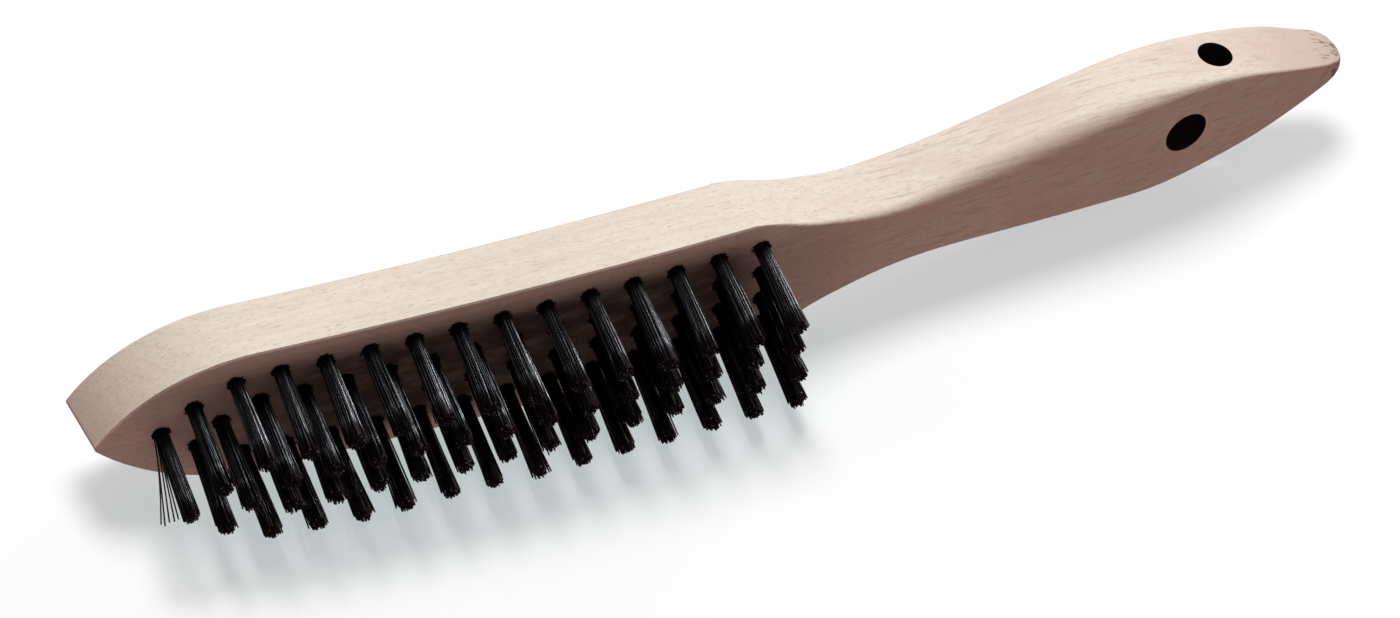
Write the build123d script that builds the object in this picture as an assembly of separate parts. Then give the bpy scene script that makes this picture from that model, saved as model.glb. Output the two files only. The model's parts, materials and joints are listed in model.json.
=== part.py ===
from build123d import *
import os
from math import acos, cos, radians, sin, sqrt

# Hand wire brush with a curved beech handle, lying on one side face of its block. Millimetres.
#
# Brush axes used while modelling:
#   X runs from the toe (negative) to the handle's end, and is zero at the heel column of tufts.
#   Y runs from the bristles (negative) to the back, and is zero on the bristle face at the heel.
#   Z runs across the width, and is zero at mid-width.
# Last of all, every piece is moved so that the middle of the underside of the whole brush's box
# is the origin.

# Block, the part of the handle that carries the tufts
BLOCK_WIDTH = 36.0
BLOCK_THICKNESS = 15.5
BLOCK_EDGE_CHAMFER = 0.35
BOW_RADIUS = 1400.0          # the bristle face is the outside of a long shallow arc
BOW_LOWEST_X = -70.0         # where that arc comes furthest towards the bristles
BLANK_TOE_X = -170.0         # ends of the block's blank, before its toe and neck are cut
BLANK_HEEL_X = 30.0

# Toe, a pointed arch in plan
TOE_START_X = -110.0         # where the straight sides end
TOE_REACH = 36.0             # from there to the nose, along X
TOE_NOSE_Z = -1.2            # the nose is cut a little off the middle
TOE_NOSE_RADIUS = 1.2
TOE_LEAN = 8.5               # degrees that the toe's sides lean forward towards the back

# Grip: one row per station along the handle, each a rectangle with rounded corners. The rows give
# the (x, y) of its bristle-side edge, the (x, y) of its back edge, half its width, and the radii of
# its bristle-side and back corners.
GRIP_STATIONS = [
    ((-0.5, 0.0), (-6.3, 15.3), 18.0, 0.4, 0.4),
    ((2.0, 0.1), (-3.8, 15.6), 17.5, 0.5, 0.5),
    ((4.6, 0.6), (-0.8, 16.3), 16.3, 0.6, 0.6),
    ((7.2, 1.2), (2.3, 16.9), 14.9, 0.7, 0.7),
    ((10.0, 1.6), (5.2, 17.3), 13.5, 0.8, 0.8),
    ((16.0, 2.1), (11.8, 17.9), 11.5, 1.0, 1.0),
    ((24.0, 2.7), (20.2, 18.9), 9.6, 1.3, 1.4),
    ((36.0, 3.8), (32.8, 21.0), 8.7, 2.2, 2.2),
    ((50.0, 5.2), (47.2, 23.0), 10.4, 4.0, 4.0),
    ((66.0, 6.9), (63.4, 25.5), 12.5, 5.0, 5.2),
    ((82.0, 9.0), (79.6, 27.9), 14.0, 4.6, 5.2),
    ((95.0, 11.1), (93.0, 29.7), 14.2, 3.2, 4.5),
    ((107.0, 13.7), (105.6, 31.2), 12.5, 1.6, 3.5),
    ((118.0, 15.7), (117.4, 32.2), 9.8, 0.8, 2.6),
    ((127.0, 17.3), (127.2, 32.7), 6.6, 0.6, 2.0),
    ((134.5, 19.0), (134.8, 32.0), 3.8, 0.5, 1.5),
    ((139.0, 20.6), (139.4, 30.6), 2.1, 0.5, 1.1),
    ((140.9, 22.4), (141.1, 28.2), 1.1, 0.4, 0.7),
    ((141.5, 24.2), (141.6, 26.6), 0.5, 0.3, 0.3),
]

# Two drilled holes near the handle's end, for a cord or a hook
CORD_HOLE_DIAMETER = 10.0    # through the handle's thickness, along Y
CORD_HOLE_X = 101.0
CORD_HOLE_Z = 0.8            # drilled a little off the middle
HOOK_HOLE_DIAMETER = 7.6     # through the handle's width, along Z
HOOK_HOLE_X = 111.2
HOOK_HOLE_Y = 22.8
DRILL_MIDDLE_Y = 20.0        # middle of the drill's reach across the thickness
DRILL_REACH = 60.0           # longer than the handle is thick or wide

SAME_PLACE = 0.05            # points closer than this are taken as touching

# Tufts of straight steel wire, in parallel holes
TUFT_HOLE_DIAMETER = 3.8
TUFT_HOLE_DEPTH = 11.0
TUFT_DRILL_START = 1.0       # the drill's cut starts this far outside the bristle face
TUFT_SHANK_CLEARANCE = 0.02  # between a packed tuft and the wall of its hole, on the radius
TUFT_LENGTH = 25.0           # from the bristle face to the wire ends
TUFT_END_DIAMETER = 4.5
TUFT_END_EDGE_RADIUS = 0.6
ROW_TUFTS = 13
OUTER_ROW_Z = 11.3
OUTER_ROW_PITCH = 9.6
OUTER_ROW_LAST_Z = 10.5      # the outer rows turn in a little at the toe
INNER_ROW_Z = 3.9
INNER_ROW_PITCH = 9.2
TOE_CENTRE_X = -119.0
TOE_PAIR_X = -124.5
TOE_PAIR_Z = 5.8
TOE_TIP_X = -131.8

# Flat wire anchors, one driven across the bottom of each tuft hole into the wood on both sides
ANCHOR_LENGTH = 5.4
ANCHOR_THICKNESS = 0.5
ANCHOR_DEPTH = 2.0
ANCHOR_ABOVE_HOLE_BOTTOM = 1.2
ANCHOR_CLEARANCE = 0.02      # all round, in the wood and in the tuft folded over it


# ---- shared geometry of the bowed block ----

BOW_CENTRE_Y = sqrt(BOW_RADIUS**2 - BOW_LOWEST_X**2)


def bow_point(angle, radius):
    """Point of the bow at an angle in radians from its lowest point, towards the handle."""
    return (BOW_LOWEST_X + radius * sin(angle), BOW_CENTRE_Y - radius * cos(angle))


def bow_angle(x):
    """Angle of the bow, in radians, where the bristle face crosses the given X."""
    return (x - BOW_LOWEST_X) / BOW_RADIUS


def hole_frame(x, z):
    """Frame at a tuft hole's mouth, with its Z out along the tuft; all holes are drilled parallel."""
    mouth_x, mouth_y = bow_point(bow_angle(x), BOW_RADIUS)
    return Location(Plane(origin=(mouth_x, mouth_y, z), x_dir=(0, 0, 1), z_dir=(0, -1, 0)))


# ---- beech handle ----

def block_profile():
    """Side view of the block: a shallow arc of even thickness, longer than needed at both ends."""
    start = bow_angle(BLANK_TOE_X)
    finish = bow_angle(BLANK_HEEL_X)
    outer = BOW_RADIUS
    inner = BOW_RADIUS - BLOCK_THICKNESS
    bristle_face = ThreePointArc(bow_point(start, outer), bow_point(0, outer), bow_point(finish, outer))
    back_face = ThreePointArc(bow_point(finish, inner), bow_point(0, inner), bow_point(start, inner))
    heel_end = Line(bristle_face @ 1, back_face @ 0)
    toe_end = Line(back_face @ 1, bristle_face @ 0)
    return make_face([bristle_face, heel_end, back_face, toe_end])


def toe_arc(side):
    """One side of the toe, from where it leaves the block's straight side to the nose."""
    half = BLOCK_WIDTH / 2
    turn_in = half - side * TOE_NOSE_Z
    radius = (TOE_REACH**2 + turn_in**2) / (2 * turn_in)
    halfway = acos((radius - turn_in) / radius) / 2
    middle_x = TOE_START_X - radius * sin(halfway)
    middle_z = half - radius * (1 - cos(halfway))
    return ThreePointArc(
        (TOE_START_X, side * half),
        (middle_x, side * middle_z),
        (TOE_START_X - TOE_REACH, TOE_NOSE_Z),
    )


def block_plan():
    """Plan of the block on the XZ plane: straight sides that arch to a pointed, softened toe."""
    half = BLOCK_WIDTH / 2
    with BuildSketch(Plane.XZ) as plan:
        with BuildLine():
            Line((BLANK_HEEL_X, -half), (BLANK_HEEL_X, half))
            Line((BLANK_HEEL_X, half), (TOE_START_X, half))
            Line((TOE_START_X, -half), (BLANK_HEEL_X, -half))
            add([toe_arc(1), toe_arc(-1)])
        make_face()
        nose = plan.vertices().sort_by(Axis.X)[0]
        fillet(nose, TOE_NOSE_RADIUS)
    return plan.sketch


def grip_section(bristle_edge, back_edge, half_width, bristle_radius, back_radius):
    """Rectangle across the handle, with its own corner radius towards the bristles and the back."""
    rise_x = back_edge[0] - bristle_edge[0]
    rise_y = back_edge[1] - bristle_edge[1]
    height = sqrt(rise_x**2 + rise_y**2)
    middle = ((bristle_edge[0] + back_edge[0]) / 2, (bristle_edge[1] + back_edge[1]) / 2, 0)
    frame = Plane(origin=middle, x_dir=(rise_x, rise_y, 0), z_dir=(rise_y, -rise_x, 0))
    with BuildSketch() as section:
        Rectangle(height, 2 * half_width)
        fillet(section.vertices().sort_by(Axis.X)[:2], bristle_radius)
        fillet(section.vertices().sort_by(Axis.X)[-2:], back_radius)
    return frame * section.sketch


def make_block():
    """Toe and block, cut off square to the side view along the sloping line where the neck starts."""
    reach = 3 * BLOCK_THICKNESS
    lean = (-sin(radians(TOE_LEAN)), cos(radians(TOE_LEAN)), 0)
    plan = extrude(block_plan(), amount=reach, dir=lean)
    plan += extrude(block_plan(), amount=reach, dir=tuple(-part for part in lean))
    slab = extrude(block_profile(), amount=BLOCK_WIDTH, both=True)
    block = plan & slab
    bristle_edge, back_edge = GRIP_STATIONS[0][:2]
    rise_x = back_edge[0] - bristle_edge[0]
    rise_y = back_edge[1] - bristle_edge[1]
    neck = Plane(origin=(*bristle_edge, 0), x_dir=(0, 0, 1), z_dir=(rise_y, -rise_x, 0))
    block = split(block, bisect_by=neck, keep=Keep.BOTTOM)
    rims = [edge for edge in block.edges() if not is_on_plane(edge, neck) and is_rim(edge)]
    return chamfer(rims, BLOCK_EDGE_CHAMFER)


def is_on_plane(edge, plane):
    """Whether both ends and the middle of an edge lie on a plane."""
    return all(abs(plane.to_local_coords(edge @ place).Z) < SAME_PLACE for place in (0, 0.5, 1))


def is_rim(edge):
    """Whether an edge runs along the bristle face or the back of the block."""
    points = [edge @ place for place in (0, 0.5, 1)]
    depths = [sqrt((point.X - BOW_LOWEST_X)**2 + (point.Y - BOW_CENTRE_Y)**2) for point in points]
    return max(depths) - min(depths) < SAME_PLACE


def make_grip():
    """Swept-back grip, from the neck to the blunt point at the handle's end."""
    return loft([grip_section(*station) for station in GRIP_STATIONS])


def make_handle(tuft_places):
    """One piece of beech: block and grip, with its tuft holes, anchor cuts and two drilled holes."""
    handle = make_block() + make_grip()
    handle = handle.cut(*[tuft_hole(x, z) for x, z in tuft_places])
    handle = handle.cut(*[make_anchor(x, z, ANCHOR_CLEARANCE) for x, z in tuft_places])
    cord_drill = Rot(90, 0, 0) * Cylinder(CORD_HOLE_DIAMETER / 2, DRILL_REACH)
    cord_hole = Pos(CORD_HOLE_X, DRILL_MIDDLE_Y, CORD_HOLE_Z) * cord_drill
    hook_hole = Pos(HOOK_HOLE_X, HOOK_HOLE_Y, 0) * Cylinder(HOOK_HOLE_DIAMETER / 2, DRILL_REACH)
    return handle.cut(cord_hole, hook_hole)


# ---- tufts and anchors ----

def tuft_hole(x, z):
    """Blind hole for one tuft, open at the bristle face."""
    length = TUFT_HOLE_DEPTH + TUFT_DRILL_START
    hole = Cylinder(TUFT_HOLE_DIAMETER / 2, length, align=(Align.CENTER, Align.CENTER, Align.MIN))
    return hole_frame(x, z) * Pos(0, 0, -TUFT_HOLE_DEPTH) * hole


def make_anchor(x, z, margin=0.0):
    """Flat wire lying across a tuft hole near its bottom, along the brush."""
    middle = -TUFT_HOLE_DEPTH + ANCHOR_ABOVE_HOLE_BOTTOM + ANCHOR_DEPTH / 2
    grown = 2 * margin
    bar = Box(ANCHOR_THICKNESS + grown, ANCHOR_LENGTH + grown, ANCHOR_DEPTH + grown)
    return hole_frame(x, z) * Pos(0, 0, middle) * bar


def make_tuft(x, z):
    """Bundle of wires: packed in its hole, spreading a little to its ends, folded on its anchor."""
    shank_radius = TUFT_HOLE_DIAMETER / 2 - TUFT_SHANK_CLEARANCE
    end_radius = TUFT_END_DIAMETER / 2
    with BuildPart() as bundle:
        with BuildSketch(Plane.XZ):
            with BuildLine():
                Polyline(
                    (0, -TUFT_HOLE_DEPTH),
                    (shank_radius, -TUFT_HOLE_DEPTH),
                    (shank_radius, 0),
                    (end_radius, TUFT_LENGTH),
                    (0, TUFT_LENGTH),
                    close=True,
                )
            make_face()
        revolve(axis=Axis.Z)
        fillet(bundle.edges().sort_by(Axis.Z)[-1], TUFT_END_EDGE_RADIUS)
    return hole_frame(x, z) * bundle.part - make_anchor(x, z, ANCHOR_CLEARANCE)


def tuft_layout():
    """Name and place of every tuft: two outer rows, two inner rows and the toe's own four."""
    places = {}
    for side, name in ((1, "upper"), (-1, "lower")):
        for index in range(ROW_TUFTS):
            last = index == ROW_TUFTS - 1
            z = OUTER_ROW_LAST_Z if last else OUTER_ROW_Z
            places[f"tuft_{name}_outer_{index + 1:02d}"] = (-index * OUTER_ROW_PITCH, side * z)
        for index in range(ROW_TUFTS):
            places[f"tuft_{name}_inner_{index + 1:02d}"] = (-index * INNER_ROW_PITCH, side * INNER_ROW_Z)
        places[f"tuft_{name}_toe"] = (TOE_PAIR_X, side * TOE_PAIR_Z)
    places["tuft_centre_toe"] = (TOE_CENTRE_X, 0)
    places["tuft_tip_toe"] = (TOE_TIP_X, 0)
    return places


# ---- the whole brush ----

def make_brush():
    """Every piece by name, in brush axes."""
    layout = tuft_layout()
    pieces = {"beech_handle": make_handle(list(layout.values()))}
    pieces["wire_anchors"] = Compound(children=[make_anchor(x, z) for x, z in layout.values()])
    for name, (x, z) in layout.items():
        pieces[name] = make_tuft(x, z)
    return pieces


def main():
    os.makedirs("parts", exist_ok=True)
    pieces = make_brush()
    box = pieces["beech_handle"].bounding_box()
    for piece in pieces.values():
        box = box.add(piece.bounding_box())
    shift = Pos(-box.center().X, -box.center().Y, -box.min.Z)
    print(f"overall size {box.size}, moved by {shift.position}")
    for name, piece in pieces.items():
        export_step(shift * piece, f"parts/{name}.step")


main()
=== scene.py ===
import json
import math

import bpy
import numpy as np
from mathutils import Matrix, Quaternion, Vector


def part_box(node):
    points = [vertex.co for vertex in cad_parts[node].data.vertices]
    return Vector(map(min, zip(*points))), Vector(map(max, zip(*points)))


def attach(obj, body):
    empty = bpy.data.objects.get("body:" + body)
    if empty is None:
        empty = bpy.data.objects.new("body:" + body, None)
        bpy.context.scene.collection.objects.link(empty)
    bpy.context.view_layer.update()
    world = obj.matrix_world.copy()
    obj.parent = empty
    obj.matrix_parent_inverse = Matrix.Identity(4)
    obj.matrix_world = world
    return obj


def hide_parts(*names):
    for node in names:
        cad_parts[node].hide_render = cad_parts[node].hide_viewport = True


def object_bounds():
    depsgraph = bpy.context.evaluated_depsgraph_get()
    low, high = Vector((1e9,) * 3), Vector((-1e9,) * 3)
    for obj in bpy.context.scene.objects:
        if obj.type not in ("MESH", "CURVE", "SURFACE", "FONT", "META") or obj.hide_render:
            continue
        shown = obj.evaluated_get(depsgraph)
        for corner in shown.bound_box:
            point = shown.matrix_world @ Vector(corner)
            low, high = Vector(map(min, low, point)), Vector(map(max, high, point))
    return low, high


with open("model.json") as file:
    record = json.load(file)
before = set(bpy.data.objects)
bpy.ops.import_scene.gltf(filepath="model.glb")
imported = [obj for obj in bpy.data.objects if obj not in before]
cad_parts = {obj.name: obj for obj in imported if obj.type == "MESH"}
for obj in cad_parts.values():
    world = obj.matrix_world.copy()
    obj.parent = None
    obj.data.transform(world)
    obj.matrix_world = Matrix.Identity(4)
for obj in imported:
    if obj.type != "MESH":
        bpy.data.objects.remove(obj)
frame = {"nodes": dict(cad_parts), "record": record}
cad_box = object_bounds()

# Everything is in metres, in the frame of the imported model: +X along the brush to the handle's end,
# +Y from the bristles to the back of the block, +Z up across the width.

MM = 0.001
SEED = 7


def rgb(r, g, b):
    return (r, g, b, 1.0)


def middle_of(box):
    return (box[0] + box[1]) / 2


# ---- camera ----
CAMERA_AZIMUTH = -18.13          # degrees, 0 looks along +Y
CAMERA_ELEVATION = 47.5          # degrees above the horizon
CAMERA_ROLL = -0.315             # degrees
CAMERA_DISTANCE = 1.445
CAMERA_AIM = Vector((-0.0104, -0.0027, 0.0147))
CAMERA_LENS = 175.5              # mm
CAMERA_SENSOR = 36.0             # mm

# ---- light ----
KEY_TILT_X = 6.0                 # degrees that the key light leans from overhead, to the handle's end
KEY_TILT_Y = 24.0                # and to the back
KEY_DISTANCE = 2.2
KEY_SIZE = 1.0
KEY_POWER = 43.5
KEY_COLOUR = (0.90, 0.985, 1.0)
FILL_COLOUR = (0.298, 0.200, 0.190)
RIM_TOWARDS = (0.68, 0.64, 0.36)  # low, from the back and the handle's end
RIM_DISTANCE = 1.6
RIM_SIZE = 0.25
RIM_POWER = 4.5
RIM_COLOUR = (1.0, 0.95, 1.0)

# ---- floor ----
FLOOR_COLOUR = rgb(0.56, 0.51, 0.505)
FLOOR_GLOW = rgb(0.44, 0.50, 0.51)
FLOOR_HALF_SIZE = 4.0
FLOOR_Z = -0.02 * MM

# ---- beech, in millimetres ----
END_X = cad_box[1].x / MM
TOE_X = cad_box[0].x / MM
BLOCK_MIDDLE_Z = middle_of(cad_box).z / MM
HEEL_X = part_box("tuft_upper_outer_01")[1].x / MM
RING_WIDTH = 1.9
RING_SWAY = 7.0
PITH_Y = -55.0                   # the tree's pith lay to the bristle side of the brush and under it,
PITH_Z = -120.0
PITH_SLOPE_Y = -0.10             # and ran a little askew to it
PITH_SLOPE_Z = 0.03

# Where marks on the wood come in: there is none at the first place and it is full at the second
GRIP_LINES_X = (5.0, 45.0)
GRIP_BLUSH_X = (8.0, 45.0)
# wear and painted shade towards the handle's end, on the upward faces
WORN_AND_SHADED_X = (END_X - 34.0, END_X - 8.0)
TIP_X = (END_X - 8.0, END_X - 2.0)
# painted shade on the block's bevel
SHADED_BEVEL_X = (HEEL_X + 8.0, HEEL_X + 2.0)
# painted shade and steel dust on the bristle face among the tufts
DUST_SHADE_OFF_MIDDLE = (17.5, 9.0)
DUST_SHADE_TOE_X = (TOE_X + 8.0, TOE_X + 56.0)
DUST_SHADE_HEEL_X = (HEEL_X + 4.0, HEEL_X - 12.0)
DUST_SHADE_NECK_X = (HEEL_X + 34.0, HEEL_X)
BORE_EDGE = (0.10, 0.02)         # outside the bore's radius

PALE_WOOD = rgb(0.795, 0.728, 0.622)
TAN_WOOD = rgb(0.755, 0.683, 0.577)
STREAK_WOOD = rgb(0.70, 0.60, 0.50)
MOTTLE_WOOD = rgb(0.66, 0.555, 0.465)
LATE_WOOD = rgb(0.55, 0.42, 0.33)
PORE_WOOD = rgb(0.50, 0.38, 0.30)
FLECK_WOOD = rgb(0.53, 0.39, 0.30)
PINK_WOOD = rgb(0.70, 0.555, 0.485)
END_GRAIN = rgb(0.36, 0.26, 0.205)
# wear and painted shade on the upward faces near the end
WORN_AND_SHADED_WOOD = rgb(0.60, 0.475, 0.395)
TIP_WOOD = rgb(0.42, 0.29, 0.235)
TIP_SPOT = rgb(0.13, 0.075, 0.06)
# painted shade on the block's bevel
BEVEL_SHADE = rgb(0.30, 0.20, 0.16)
# steel dust and painted shade among the tufts
STEEL_DUST_AND_SHADE = rgb(0.048, 0.038, 0.035)
# painted shade inside the two drilled bores
BORE_SHADE_WOOD = rgb(0.012, 0.008, 0.007)

# ---- steel ----
WIRE_DARK = rgb(0.011, 0.011, 0.012)
WIRE_BRIGHT = rgb(0.37, 0.385, 0.41)
CUT_DARK = rgb(0.012, 0.013, 0.014)
CUT_BRIGHT = rgb(0.80, 0.85, 0.90)
ANCHOR_DARK = rgb(0.40, 0.40, 0.41)   # the anchors have no tone of their own, so all are this one
ANCHOR_BRIGHT = rgb(0.50, 0.50, 0.51)
ROUGHNESS_VARIES = (-0.06, 0.10)

# ---- splinters round the tuft holes ----
DARK_SHADE_SPLINTERS = 24              # at each hole; near-black, partly dirt and partly painted shade round the hole's mouth
PALE_SPLINTERS = (1, 4)          # fewest and most at one hole
SPLINTER_SIZES = {               # ranges of length, rise off the wood and width, in millimetres
    "dark": ((0.22, 0.60), (0.06, 0.20), (0.45, 0.75)),
    "pale": ((0.5, 1.1), (0.15, 0.4), (0.16, 0.34)),
}
PALE_SPREAD = 0.7                # radians to each side of the toe's direction
SPLINTER_ROOT = 0.06 * MM        # how deep a splinter starts under the hole's mouth
SPLINTER_OVERLAP = 0.05 * MM     # and how far inside the hole's wall
SPLINTER_TURN = 0.12 * MM
SPLINTER_CORNERS = ((-1, 0), (0, 1), (1, 0), (0, -1))

# ---- tufts ----
HOLE_DEPTH = 11.0 * MM
HOLE_RADIUS = 1.9 * MM
BUNDLE_RADIUS = 1.70 * MM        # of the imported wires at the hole's mouth
WIRE_RADIUS = 0.165 * MM
WIRE_PITCH = 0.35 * MM
WIRE_SIDES = 6
WIRE_LENGTH = 25.0 * MM
SPREAD = 1.30                    # how much wider the tuft is at its end than at its hole
SPREAD_VARIES = (0.94, 1.08)
LENGTH_VARIES = (-0.5 * MM, 0.1 * MM)
STATIONS = (-4.0, 0.0, 6.0, 12.0, 18.0, 25.0)  # millimetres out from the hole's mouth
TUFT_LEAN = 0.16 * MM            # spread of how far a whole tuft leans at its end
WIRE_DRIFT = 0.13 * MM           # spread of how far a wire drifts within its tuft
WIRE_BOW = 0.09 * MM
STRAY_SHARE = 0.02
STRAY_DRIFT = 4.0                # a stray wire drifts this many times further
END_SLANT = 0.10                 # spread of the slope of a tuft's trimmed end
END_DOME = 1.0 * MM              # the outermost wires are this much shorter
END_RAGGED = 0.33 * MM           # how much a wire falls short of the trimmed end, on average
CUT_SLANT = 0.45                 # spread of the slope of one wire's cut end
LOOSE_WIRES = 5                  # wires combed out to one side of the toe's last tuft
LOOSE_START = 1.3 * MM
LOOSE_STEP = 0.8 * MM
LOOSE_SCATTER = 0.4 * MM
HIGHLIGHT_SIDE = (0.80, 0.60)     # painted highlight: the wires are brighter towards the handle's end and the upper side, where the light comes from
HIGHLIGHT_START = 0.25              # share of the tuft's radius
HIGHLIGHT_REACH = 0.6
LEAST_HIGHLIGHT = 0.05
HIGHLIGHT_ALONG = (0.0, 0.02, 0.75, 1.0, 1.0, 1.0)  # painted highlight at each of the stations, near none at the hole's mouth as painted shade there
TONE_POWER = 2                   # few wires are bright
SPARK_POWER = 5                  # and fewer cut ends sparkle
LEAST_GLINT = 0.35               # on the side away from the painted highlight


# ======================= node helpers =======================

class Nodes:
    """A material's node tree, with a short way to add nodes and join them."""

    def __init__(self, name):
        self.material = bpy.data.materials.new(name)
        self.material.use_nodes = True
        self.tree = self.material.node_tree
        self.shader = self.tree.nodes["Principled BSDF"]

    def add(self, kind, settings=None, **inputs):
        """Adds a node. Settings are its properties; inputs are socket names or numbers."""
        node = self.tree.nodes.new(kind)
        for key, value in (settings or {}).items():
            setattr(node, key, value)
        for key, value in inputs.items():
            self.put(node, key, value)
        return node

    def put(self, node, key, value):
        """Sets a socket to a value, or joins it to another node's output."""
        name = key.replace("_", " ")
        socket = node.inputs[int(key[1:])] if key[0] == "i" and key[1:].isdigit() else node.inputs[name]
        if isinstance(value, bpy.types.NodeSocket):
            self.tree.links.new(value, socket)
        else:
            socket.default_value = value

    def math(self, operation, a, b=0.0):
        return self.add("ShaderNodeMath", {"operation": operation}, i0=a, i1=b).outputs[0]

    def ramp(self, value, low, high, start=0.0, end=1.0):
        """Smooth step of a value from low to high."""
        node = self.add("ShaderNodeMapRange", {"interpolation_type": "SMOOTHSTEP"},
                        Value=value, From_Min=low, From_Max=high, To_Min=start, To_Max=end)
        return node.outputs[0]

    def times(self, a, b):
        return self.math("MULTIPLY", a, b)

    def plus(self, a, b):
        return self.math("ADD", a, b)

    def parts(self, vector):
        """The three parts of a vector."""
        return self.add("ShaderNodeSeparateXYZ", None, Vector=vector).outputs

    def stretch(self, place, factors):
        node = self.add("ShaderNodeVectorMath", {"operation": "MULTIPLY"}, i0=place, i1=factors)
        return node.outputs[0]

    def noise(self, place, per_unit, detail=2.0, rough=0.5):
        """Noise with its own fineness along each axis."""
        scaled = self.stretch(place, per_unit)
        node = self.add("ShaderNodeTexNoise", None, Vector=scaled, Scale=1.0, Detail=detail)
        node.inputs["Roughness"].default_value = rough
        return node.outputs["Fac"]

    def mix(self, factor, a, b):
        node = self.tree.nodes.new("ShaderNodeMix")
        node.data_type = "RGBA"
        for index, value in ((0, factor), (6, a), (7, b)):
            if isinstance(value, bpy.types.NodeSocket):
                self.tree.links.new(value, node.inputs[index])
            else:
                node.inputs[index].default_value = value
        return node.outputs[2]


# ======================= beech =======================

def bore_places():
    """Radius and axis place of the two drilled holes, in millimetres, from the record's mounts."""
    mounts = {mount["name"]: mount for mount in frame["record"]["mounts"]}
    cord = mounts["cord_hole"]
    hook = mounts["hook_hole"]
    return (
        (cord["dims"]["r_mm"], cord["pos_m"][0] / MM, cord["pos_m"][2] / MM),
        (hook["dims"]["r_mm"], hook["pos_m"][0] / MM, hook["pos_m"][1] / MM),
    )


def late_wood(n, place, x, y, z):
    """Growth rings: strongest at the dark late wood that ends each year's growth."""
    sway = n.noise(place, (0.011, 0.05, 0.05), 2.0)
    from_y = n.plus(n.times(x, -PITH_SLOPE_Y), n.plus(y, -PITH_Y))
    from_z = n.plus(n.times(x, -PITH_SLOPE_Z), n.plus(z, -PITH_Z))
    square = n.plus(n.times(from_y, from_y), n.times(from_z, from_z))
    radius = n.plus(n.math("SQRT", square), n.times(sway, RING_SWAY))
    year = n.math("FRACT", n.times(radius, 1 / RING_WIDTH))
    late = n.times(n.ramp(year, 0.62, 0.93), n.ramp(year, 1.0, 0.95))
    faded = n.noise(place, (0.02, 0.12, 0.12), 2.0)
    return n.times(late, n.ramp(faded, 0.36, 0.62, 0.25, 1.0))


def grain_colour(n, place, late, streaks, pores, flecks):
    """Colour of the plain wood, from wide soft patches to the finest pores."""
    patches = n.noise(place, (0.014, 0.045, 0.045), 3.0)
    mottle = n.noise(place, (0.5, 1.3, 1.3), 4.0, 0.65)
    colour = n.mix(n.ramp(patches, 0.35, 0.65), PALE_WOOD, TAN_WOOD)
    colour = n.mix(n.ramp(streaks, 0.36, 0.68, 0.0, 0.42), colour, STREAK_WOOD)
    colour = n.mix(n.ramp(mottle, 0.42, 0.66, 0.0, 0.38), colour, MOTTLE_WOOD)
    colour = n.mix(n.times(late, 0.18), colour, LATE_WOOD)
    colour = n.mix(n.ramp(pores, 0.54, 0.72, 0.0, 0.50), colour, PORE_WOOD)
    return n.mix(n.ramp(flecks, 0.62, 0.72, 0.0, 0.55), colour, FLECK_WOOD)


def grip_colour(n, place, x, colour):
    """Long fine lines where the grain is cut at a slant along the grip, and a pink blush there."""
    lines = n.noise(place, (0.018, 1.1, 1.1), 2.0)
    lines = n.times(n.ramp(lines, 0.55, 0.66, 0.0, 0.42), n.ramp(x, *GRIP_LINES_X))
    colour = n.mix(lines, colour, PORE_WOOD)
    blush = n.noise(place, (0.05, 0.11, 0.11), 2.0)
    pink = n.times(n.ramp(x, *GRIP_BLUSH_X), n.ramp(blush, 0.42, 0.66, 0.0, 0.5))
    return n.mix(pink, colour, PINK_WOOD)


def end_colour(n, place, x, normal, colour):
    """Darker end grain where the surface turns across the grain, and the worn tip of the handle, darkened
    on the upward faces only: partly wear, partly painted shade.
    """
    grain_end = n.ramp(n.math("ABSOLUTE", normal[0]), 0.30, 1.0)
    colour = n.mix(n.times(grain_end, 0.45), colour, END_GRAIN)
    # wear darkening kept to the upward faces, so it is partly painted shade
    upward = n.ramp(normal[2], 0.0, 0.5)
    worn_and_shade = n.times(n.ramp(x, *WORN_AND_SHADED_X, 0.0, 0.80), upward)
    colour = n.mix(worn_and_shade, colour, WORN_AND_SHADED_WOOD)
    tip = n.ramp(x, *TIP_X)
    colour = n.mix(n.times(tip, 0.18), colour, TIP_WOOD)
    spots = n.noise(place, (0.22, 1.3, 0.7), 2.0, 0.6)
    spot = n.times(n.ramp(spots, 0.55, 0.60), tip)
    return n.mix(n.times(spot, 0.8), colour, TIP_SPOT)


def bevel_shade_colour(n, x, true_normal, colour):
    """Painted shade on the narrow bevel between the block's upper side and its bristle face, picked out by
    which way the surface faces.
    """
    shaded_bevel = n.times(n.ramp(true_normal[2], 0.45, 0.60), n.ramp(true_normal[2], 0.92, 0.80))
    shaded_bevel = n.times(shaded_bevel, n.ramp(true_normal[1], -0.30, -0.45))
    shaded_bevel = n.times(shaded_bevel, n.ramp(x, *SHADED_BEVEL_X, 0.0, 0.62))
    return n.mix(shaded_bevel, colour, BEVEL_SHADE)


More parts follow.
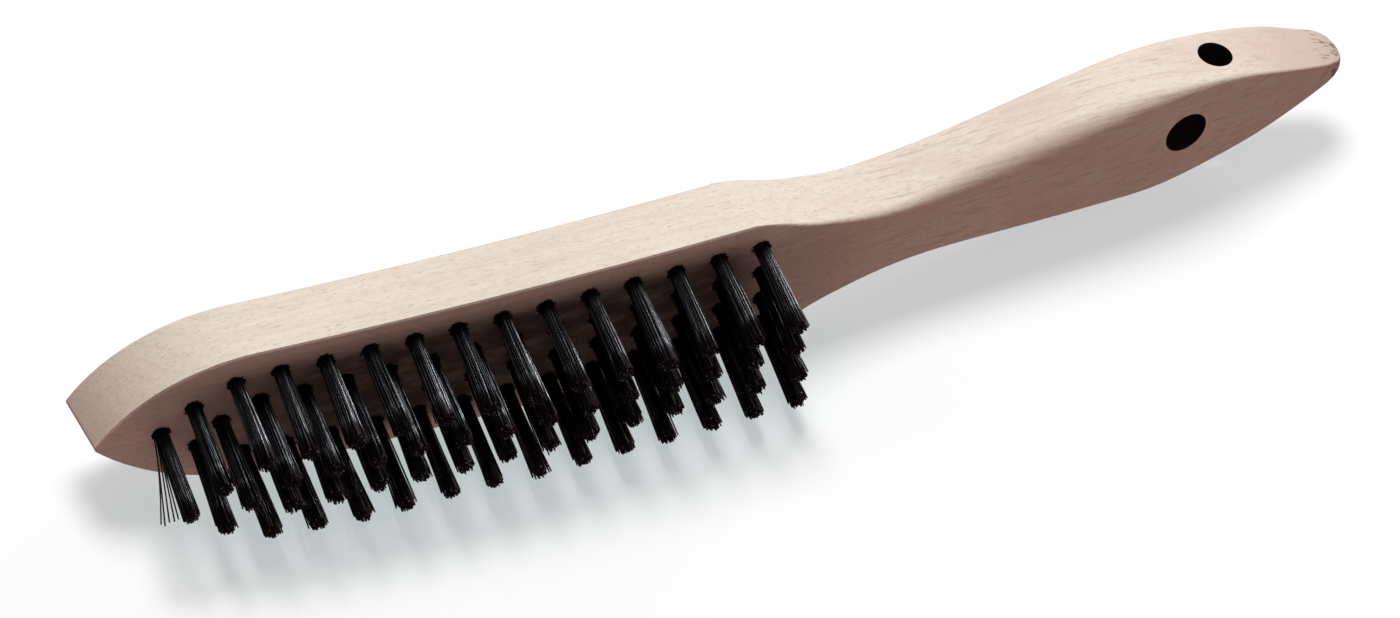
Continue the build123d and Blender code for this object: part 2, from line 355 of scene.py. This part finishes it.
def dust_and_shade_colour(n, place, x, z, normal, colour):
    """Black steel dust rubbed into the bristle face among the tufts, and a little past the heel; the
    darkening is also painted shade from the tufts.
    """
    off_middle = n.math("ABSOLUTE", n.math("SUBTRACT", z, BLOCK_MIDDLE_Z))
    dust_and_shade = n.times(n.ramp(off_middle, *DUST_SHADE_OFF_MIDDLE), n.ramp(x, *DUST_SHADE_TOE_X, 0.04, 1.0))
    on_neck = n.times(n.ramp(x, *DUST_SHADE_NECK_X), 0.27)
    dust_and_shade = n.times(dust_and_shade, n.math("MAXIMUM", n.ramp(x, *DUST_SHADE_HEEL_X), on_neck))
    dust_and_shade = n.times(dust_and_shade, n.ramp(normal[1], -0.7, -0.95))
    uneven_dust_and_shade = n.noise(place, (0.10, 0.28, 0.28), 4.0, 0.6)
    dust_and_shade = n.times(dust_and_shade, n.ramp(uneven_dust_and_shade, 0.25, 0.6, 0.72, 0.95))
    return n.mix(dust_and_shade, colour, STEEL_DUST_AND_SHADE)


def bore_shade_colour(n, x, y, z, colour):
    """The two bores' walls, painted near-black as the shade inside the holes."""
    (cord_r, cord_x, cord_z), (hook_r, hook_x, hook_y) = bore_places()
    bore_shade = 0.0
    for radius, a, a_mid, b, b_mid in (
        (cord_r, x, cord_x, z, cord_z),
        (hook_r, x, hook_x, y, hook_y),
    ):
        off_a = n.math("SUBTRACT", a, a_mid)
        off_b = n.math("SUBTRACT", b, b_mid)
        off = n.math("SQRT", n.plus(n.times(off_a, off_a), n.times(off_b, off_b)))
        inside = n.ramp(off, radius + BORE_EDGE[0], radius + BORE_EDGE[1])
        bore_shade = n.math("MAXIMUM", bore_shade, inside)
    return n.mix(bore_shade, colour, BORE_SHADE_WOOD)


def beech():
    """Sanded bare beech: growth rings, pores, ray flecks, end grain, steel dust and painted shade among the
    tufts, and drilled bores painted dark as their shade.
    """
    n = Nodes("beech")
    place = n.stretch(n.add("ShaderNodeTexCoord").outputs["Object"], (1 / MM,) * 3)
    x, y, z = n.parts(place)
    geometry = n.add("ShaderNodeNewGeometry")
    normal = n.parts(geometry.outputs["Normal"])
    true_normal = n.parts(geometry.outputs["True Normal"])
    late = late_wood(n, place, x, y, z)
    streaks = n.noise(place, (0.045, 0.9, 0.9), 4.0, 0.6)
    pores = n.noise(place, (0.75, 5.5, 5.5), 3.0, 0.6)
    flecks = n.noise(place, (0.50, 2.3, 2.3), 1.0, 0.4)

    colour = grain_colour(n, place, late, streaks, pores, flecks)
    colour = grip_colour(n, place, x, colour)
    colour = end_colour(n, place, x, normal, colour)
    # painted shade on the block's bevel
    colour = bevel_shade_colour(n, x, true_normal, colour)
    # painted shade and steel dust among the tufts
    colour = dust_and_shade_colour(n, place, x, z, normal, colour)
    # painted shade inside the bores
    colour = bore_shade_colour(n, x, y, z, colour)

    n.put(n.shader, "Base_Color", colour)
    n.put(n.shader, "Roughness", n.ramp(streaks, 0.3, 0.7, 0.56, 0.70))
    n.shader.inputs["Specular IOR Level"].default_value = 0.32
    height = n.plus(n.times(pores, -0.5), n.times(late, -0.25))
    height = n.plus(height, n.times(flecks, -0.3))
    bump = n.add("ShaderNodeBump", None, Strength=0.35, Distance=0.12 * MM, Height=height)
    n.put(n.shader, "Normal", bump.outputs[0])
    return n.material


def torn_beech(name, dark, pale):
    """Broken wood fibres round the holes."""
    n = Nodes(name)
    place = n.add("ShaderNodeTexCoord").outputs["Object"]
    fibres = n.noise(place, (0.9 / MM, 5.0 / MM, 5.0 / MM), 3.0)
    n.put(n.shader, "Base_Color", n.mix(n.ramp(fibres, 0.35, 0.65), dark, pale))
    n.shader.inputs["Roughness"].default_value = 0.85
    n.shader.inputs["Specular IOR Level"].default_value = 0.2
    return n.material


# ======================= steel =======================

def wire_steel(name, dark, pale, roughness, layer="tone"):
    """Drawn steel wire: each wire has its own tone, which also holds a painted highlight on the tuft's lit
    side and painted shade near the hole, with fine streaks and specks along it.
    """
    n = Nodes(name)
    tone = n.add("ShaderNodeAttribute", {"attribute_name": layer}).outputs["Fac"]
    place = n.add("ShaderNodeTexCoord").outputs["Object"]
    streaks = n.noise(place, (4.0 / MM, 0.3 / MM, 4.0 / MM), 3.0)
    blend = n.times(tone, n.ramp(streaks, 0.3, 0.7, 0.35, 1.0))
    n.put(n.shader, "Base_Color", n.mix(blend, dark, pale))
    smoothest, roughest = (roughness + part for part in ROUGHNESS_VARIES)
    n.put(n.shader, "Roughness", n.ramp(streaks, 0.3, 0.7, smoothest, roughest))
    n.shader.inputs["Metallic"].default_value = 1.0
    bump = n.add("ShaderNodeBump", None, Strength=0.25, Distance=0.02 * MM, Height=streaks)
    n.put(n.shader, "Normal", bump.outputs[0])
    return n.material


# ======================= tufts =======================

def tuft_axis(node):
    """Mouth of a tuft's hole and the direction out of it, from its CAD solid."""
    points = np.array([v.co for v in frame["nodes"][node].data.vertices])
    near_end = 0.5 * MM

    def middle(chosen):
        return Vector((chosen.min(0) + chosen.max(0)) / 2)

    bottom = middle(points[points[:, 1] > points[:, 1].max() - near_end])
    end = middle(points[points[:, 1] < points[:, 1].min() + near_end])
    bottom.y = points[:, 1].max()
    direction = (end - bottom).normalized()
    return bottom + direction * HOLE_DEPTH, direction


def side_axes(direction):
    """Two axes square to a tuft: one along the brush and one across it."""
    across = Vector((0, 0, 1))
    along = across.cross(direction).normalized()
    return along, across


def packed_places(rng):
    """Places of a tuft's wires across its hole, close packed and turned by a random angle."""
    limit = BUNDLE_RADIUS - WIRE_RADIUS
    turn = rng.uniform(0, math.pi / 3)
    count = int(limit / WIRE_PITCH) + 2
    places = []
    for row in range(-count, count + 1):
        for column in range(-count, count + 1):
            a = (column + row / 2) * WIRE_PITCH
            b = row * WIRE_PITCH * math.sqrt(3) / 2
            if math.hypot(a, b) < limit:
                places.append((
                    a * math.cos(turn) - b * math.sin(turn),
                    a * math.sin(turn) + b * math.cos(turn),
                ))
    return np.array(places)


def wire_paths(rng, loose_side=0.0):
    """Centre lines of one tuft's wires: (a, b, s) with s the distance out from the hole's mouth."""
    base = packed_places(rng)
    count = len(base)
    steps = np.array(STATIONS) * MM
    share = np.clip(steps / WIRE_LENGTH, 0, 1)
    spread = SPREAD * rng.uniform(*SPREAD_VARIES) - 1
    lean = rng.normal(0, TUFT_LEAN, 2)
    drift = rng.normal(0, WIRE_DRIFT, (count, 2))
    bow = rng.normal(0, WIRE_BOW, (count, 2))
    drift[rng.random(count) < STRAY_SHARE] *= STRAY_DRIFT
    off_centre = np.hypot(base[:, 0], base[:, 1]) / BUNDLE_RADIUS
    slant = rng.normal(0, END_SLANT, 2)
    ends = (
        WIRE_LENGTH
        + rng.uniform(*LENGTH_VARIES)
        - off_centre ** 2 * END_DOME
        - rng.exponential(END_RAGGED, count)
        + (base * slant).sum(1)
    )
    paths = np.zeros((count, len(steps), 3))
    for k, part in enumerate(share):
        reach = ends * part if steps[k] > 0 else np.full(count, steps[k])
        wide = 1 + spread * part
        paths[:, k, :2] = base * wide + lean * part + drift * part ** 1.3
        paths[:, k, :2] += bow * math.sin(math.pi * part)
        paths[:, k, 2] = reach
    if loose_side:
        chosen = np.argsort(base[:, 0] * loose_side)[-LOOSE_WIRES:]
        for order, index in enumerate(chosen):
            push = loose_side * (LOOSE_START + LOOSE_STEP * order)
            paths[index, :, 0] += push * share ** 1.15
            paths[index, :, 1] += rng.normal(0, LOOSE_SCATTER) * share
    return paths


def wire_faces(count, rings):
    """Faces of a tuft's wires with their smoothing and material slots: 0 for sides, 1 for cut ends."""
    faces = []
    smooth = []
    slots = []
    sides = (rings - 1) * WIRE_SIDES
    for wire in range(count):
        first = wire * rings * WIRE_SIDES
        for k in range(rings - 1):
            low = first + k * WIRE_SIDES
            high = low + WIRE_SIDES
            for j in range(WIRE_SIDES):
                after = (j + 1) % WIRE_SIDES
                faces.append((low + j, low + after, high + after, high + j))
        last = first + sides
        faces.append(tuple(first + j for j in reversed(range(WIRE_SIDES))))
        faces.append(tuple(last + j for j in range(WIRE_SIDES)))
        smooth += [True] * sides + [False, False]
        slots += [0] * sides + [0, 1]
    return faces, smooth, slots


def wire_tones(rng, paths):
    """How bright each wire is at each station, and how much its cut end sparkles: random, with a painted
    highlight on the tuft's lit side and painted shade near the hole's mouth.
    """
    count = len(paths)
    # painted highlight on the wires facing the light
    facing = (paths[:, 1, :2] @ np.array(HIGHLIGHT_SIDE)) / BUNDLE_RADIUS
    lit_side = np.clip((facing - HIGHLIGHT_START) / HIGHLIGHT_REACH, LEAST_HIGHLIGHT, 1)
    tone = (rng.random(count) ** TONE_POWER * lit_side)[:, None] * np.array(HIGHLIGHT_ALONG)
    spark = rng.random(count) ** SPARK_POWER * (LEAST_GLINT + (1 - LEAST_GLINT) * lit_side)
    return {"tone": tone, "spark": np.broadcast_to(spark[:, None], tone.shape)}


def make_tuft(node, index, loose_side=0.0):
    """One tuft of separate wires, standing for its CAD solid."""
    rng = np.random.default_rng(SEED * 1000 + index)
    mouth, direction = tuft_axis(node)
    along, across = side_axes(direction)
    axes = np.array([along, across, direction])
    paths = wire_paths(rng, loose_side)
    count, rings = paths.shape[:2]
    angles = np.arange(WIRE_SIDES) / WIRE_SIDES * 2 * math.pi
    ring = np.stack([np.cos(angles), np.sin(angles), np.zeros(WIRE_SIDES)], 1) * WIRE_RADIUS
    points = paths[:, :, None, :] + ring[None, None]
    cut = rng.normal(0, CUT_SLANT, (count, 2))
    points[:, -1, :, 2] += cut @ ring[:, :2].T
    points = points.reshape(-1, 3) @ axes + np.array(mouth)

    faces, smooth, slots = wire_faces(count, rings)
    mesh = bpy.data.meshes.new(node.replace("tuft", "wires"))
    mesh.from_pydata([tuple(p) for p in points], [], faces)
    mesh.polygons.foreach_set("use_smooth", smooth)
    mesh.polygons.foreach_set("material_index", slots)
    for name, values in wire_tones(rng, paths).items():
        layer = mesh.attributes.new(name, "FLOAT", "POINT")
        layer.data.foreach_set("value", np.repeat(values.ravel(), WIRE_SIDES).astype(np.float32))
    mesh.update()
    mesh.materials.append(STEEL)
    mesh.materials.append(CUT_STEEL)
    tuft = bpy.data.objects.new(mesh.name, mesh)
    bpy.context.scene.collection.objects.link(tuft)
    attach(tuft, "root")
    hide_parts(node)


# ======================= torn rims of the holes =======================

def add_sliver(points, faces, root, tip, width, side, up):
    """A flat splinter of wood: four corners at its root, four at its middle, and a point."""
    first = len(points)
    middle = (root + tip) / 2 + up * width * 0.3
    for centre, half_width, half_height in ((root, width / 2, width / 3), (middle, width / 2.4, width / 4)):
        for s, t in SPLINTER_CORNERS:
            points.append(centre + side * (s * half_width) + up * (t * half_height))
    points.append(tip)
    faces.append((first + 3, first + 2, first + 1, first))
    for j in range(4):
        after = (j + 1) % 4
        faces.append((first + j, first + after, first + 4 + after, first + 4 + j))
        faces.append((first + 4 + j, first + 4 + after, first + 8))


def make_rims(nodes):
    """Splinters left by the drill round every tuft hole: many near-black ones, partly dirt and partly
    painted shade, and a few pale chips.
    """
    rng = np.random.default_rng(SEED)
    built = {"dark": ([], []), "pale": ([], [])}
    for node in nodes:
        mouth, direction = tuft_axis(node)
        along, across = side_axes(direction)
        pale_count = int(rng.integers(PALE_SPLINTERS[0], PALE_SPLINTERS[1] + 1))
        for kind in ["dark"] * DARK_SHADE_SPLINTERS + ["pale"] * pale_count:
            lengths, rises, widths = SPLINTER_SIZES[kind]
            angle = rng.uniform(0, 2 * math.pi)
            if kind == "pale":
                angle = rng.normal(math.pi, PALE_SPREAD)
            out = along * math.cos(angle) + across * math.sin(angle)
            side = direction.cross(out)
            length = rng.uniform(*lengths) * MM
            root = mouth + out * (HOLE_RADIUS - SPLINTER_OVERLAP) - direction * SPLINTER_ROOT
            rise = rng.uniform(*rises) * MM
            tip = root + out * length + direction * rise + side * rng.normal(0, SPLINTER_TURN)
            width = rng.uniform(*widths) * MM
            add_sliver(*built[kind], root, tip, width, side, direction)
    for kind, material in (("dark", TORN_DIRT_AND_SHADE), ("pale", TORN_PALE)):
        points, faces = built[kind]
        mesh = bpy.data.meshes.new(f"hole_splinters_{kind}")
        mesh.from_pydata([tuple(p) for p in points], [], faces)
        mesh.materials.append(material)
        mesh.update()
        rims = bpy.data.objects.new(mesh.name, mesh)
        bpy.context.scene.collection.objects.link(rims)
        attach(rims, "root")


# ======================= floor, light and camera =======================

def make_floor():
    """Plain pale floor that glows faintly, so that the shadows on it stay light."""
    n = Nodes("floor")
    n.shader.inputs["Base Color"].default_value = FLOOR_COLOUR
    n.shader.inputs["Roughness"].default_value = 0.9
    n.shader.inputs["Specular IOR Level"].default_value = 0.0
    n.shader.inputs["Emission Color"].default_value = FLOOR_GLOW
    n.shader.inputs["Emission Strength"].default_value = 1.0
    half = FLOOR_HALF_SIZE
    mesh = bpy.data.meshes.new("floor")
    corners = [(a * half, b * half, FLOOR_Z) for a, b in ((-1, -1), (1, -1), (1, 1), (-1, 1))]
    mesh.from_pydata(corners, [], [(0, 1, 2, 3)])
    mesh.materials.append(n.material)
    floor = bpy.data.objects.new("floor", mesh)
    bpy.context.scene.collection.objects.link(floor)
    floor.visible_diffuse = False
    floor.visible_glossy = False


def add_lamp(name, towards, distance, size, power, colour):
    """Round soft light in a direction seen from the middle of the brush."""
    centre = middle_of(cad_box)
    away = Vector(towards).normalized()
    data = bpy.data.lights.new(name, "AREA")
    data.shape = "DISK"
    data.size = size
    data.energy = power
    data.color = colour
    lamp = bpy.data.objects.new(name, data)
    lamp.location = centre + away * distance
    lamp.rotation_mode = "QUATERNION"
    lamp.rotation_quaternion = (-away).to_track_quat("-Z", "Y")
    bpy.context.scene.collection.objects.link(lamp)


def make_lights():
    """Soft key light from overhead, a small low rim light, and an even fill from the world."""
    overhead = (math.tan(math.radians(KEY_TILT_X)), math.tan(math.radians(KEY_TILT_Y)), 1.0)
    add_lamp("key", overhead, KEY_DISTANCE, KEY_SIZE, KEY_POWER, KEY_COLOUR)
    add_lamp("rim", RIM_TOWARDS, RIM_DISTANCE, RIM_SIZE, RIM_POWER, RIM_COLOUR)

    world = bpy.data.worlds.new("studio")
    world.use_nodes = True
    background = world.node_tree.nodes["Background"]
    background.inputs["Color"].default_value = rgb(*FILL_COLOUR)
    background.inputs["Strength"].default_value = 1.0
    bpy.context.scene.world = world


def make_camera():
    """Long lens from above the toe and the bristles, aimed near the middle of the brush."""
    azimuth = math.radians(CAMERA_AZIMUTH)
    elevation = math.radians(CAMERA_ELEVATION)
    back = Vector((
        math.sin(azimuth) * math.cos(elevation),
        -math.cos(azimuth) * math.cos(elevation),
        math.sin(elevation),
    ))
    data = bpy.data.cameras.new("camera")
    data.lens = CAMERA_LENS
    data.sensor_width = CAMERA_SENSOR
    data.clip_start = 0.05
    data.clip_end = 20.0
    camera = bpy.data.objects.new("camera", data)
    camera.location = CAMERA_AIM + back * CAMERA_DISTANCE
    camera.rotation_mode = "QUATERNION"
    roll = Quaternion((0, 0, 1), math.radians(CAMERA_ROLL))
    camera.rotation_quaternion = (-back).to_track_quat("-Z", "Y") @ roll
    bpy.context.scene.collection.objects.link(camera)
    bpy.context.scene.camera = camera


# ======================= the whole scene =======================

BEECH = beech()
# near-black splinters: partly dirt, partly painted shade round the holes
TORN_DIRT_AND_SHADE = torn_beech("torn_beech_dark", rgb(0.010, 0.008, 0.007), rgb(0.05, 0.032, 0.024))
TORN_PALE = torn_beech("torn_beech_pale", rgb(0.34, 0.24, 0.17), rgb(0.62, 0.50, 0.38))
STEEL = wire_steel("drawn_steel", WIRE_DARK, WIRE_BRIGHT, 0.30)
CUT_STEEL = wire_steel("cut_steel", CUT_DARK, CUT_BRIGHT, 0.25, "spark")
ANCHOR_STEEL = wire_steel("anchor_steel", ANCHOR_DARK, ANCHOR_BRIGHT, 0.32)

for slot in frame["nodes"]["beech_handle"].material_slots:
    slot.material = BEECH
for slot in frame["nodes"]["wire_anchors"].material_slots:
    slot.material = ANCHOR_STEEL

tuft_nodes = sorted(node for node in frame["nodes"] if node.startswith("tuft_"))
for index, node in enumerate(tuft_nodes):
    make_tuft(node, index, loose_side=-1.0 if node == "tuft_tip_toe" else 0.0)
make_rims(tuft_nodes)

make_floor()
make_lights()
make_camera()
bpy.context.scene.view_settings.view_transform = "Standard"
